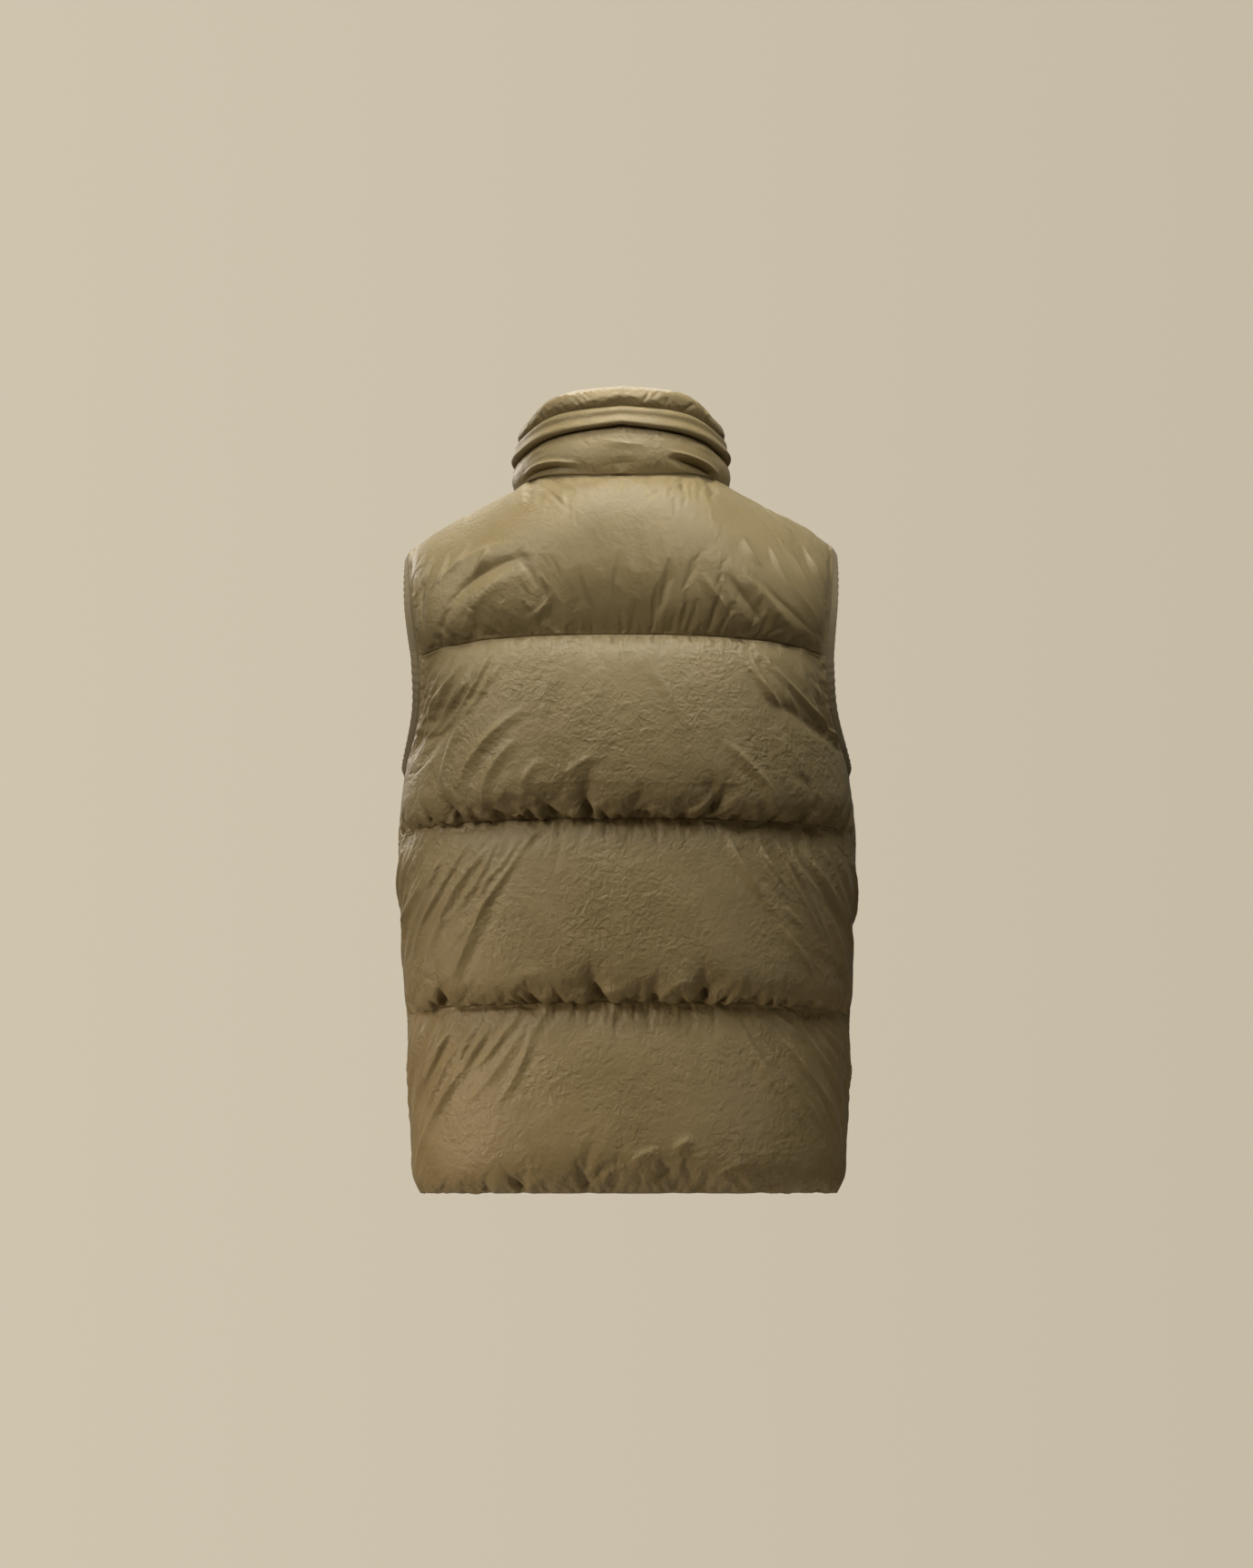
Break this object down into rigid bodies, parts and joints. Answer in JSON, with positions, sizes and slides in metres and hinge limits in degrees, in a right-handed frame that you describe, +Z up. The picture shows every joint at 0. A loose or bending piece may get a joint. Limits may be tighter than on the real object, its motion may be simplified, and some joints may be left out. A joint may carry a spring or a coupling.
{
  "type": "puffer vest",
  "caption": "Sleeveless padded vest with wide quilted baffles, a padded stand collar, bound armholes and a front zip, filled out as when worn.",
  "frame": {"origin": "between the neck ends of the two shoulder seams, level with the collar's seam at the back", "axes": "+Z up, +Y towards the wearer's back, +X towards the wearer's left"},
  "size_m": [0.4464, 0.3022, 0.7724],
  "materials": {
    "crinkled_nylon": "crinkled, matt with a slight sheen, dull olive brown",
    "binding_elastic": "matt ribbed elastic, taupe",
    "zip_tape_polyester": "matt woven tape, olive brown",
    "zip_lacquered_zinc": "satin dark lacquer"
  },
  "bodies": {
    "vest": {"back_yoke": "crinkled_nylon", "back_chest": "crinkled_nylon", "back_waist": "crinkled_nylon", "back_hem": "crinkled_nylon", "front_left_yoke": "crinkled_nylon", "front_left_chest": "crinkled_nylon", "front_left_waist": "crinkled_nylon", "front_left_hem": "crinkled_nylon", "front_right_yoke": "crinkled_nylon", "front_right_chest": "crinkled_nylon", "front_right_waist": "crinkled_nylon", "front_right_hem": "crinkled_nylon", "collar_stand": "crinkled_nylon", "collar_band": "crinkled_nylon", "collar_roll": "crinkled_nylon", "armhole_binding_left": "binding_elastic", "armhole_binding_right": "binding_elastic", "zip_tape_left": "zip_tape_polyester", "zip_tape_right": "zip_tape_polyester", "zip_slider": "zip_lacquered_zinc"},
    "zip_pull": {"zip_pull": "zip_lacquered_zinc"}
  },
  "joints": [
    {"name": "pull_hinge", "type": "hinge", "parent": "vest", "child": "zip_pull", "pos_m": [0.00517, -0.083, 0.0143], "axis": [-1, 0, 0], "range_deg": [0, 150]}
  ]
}
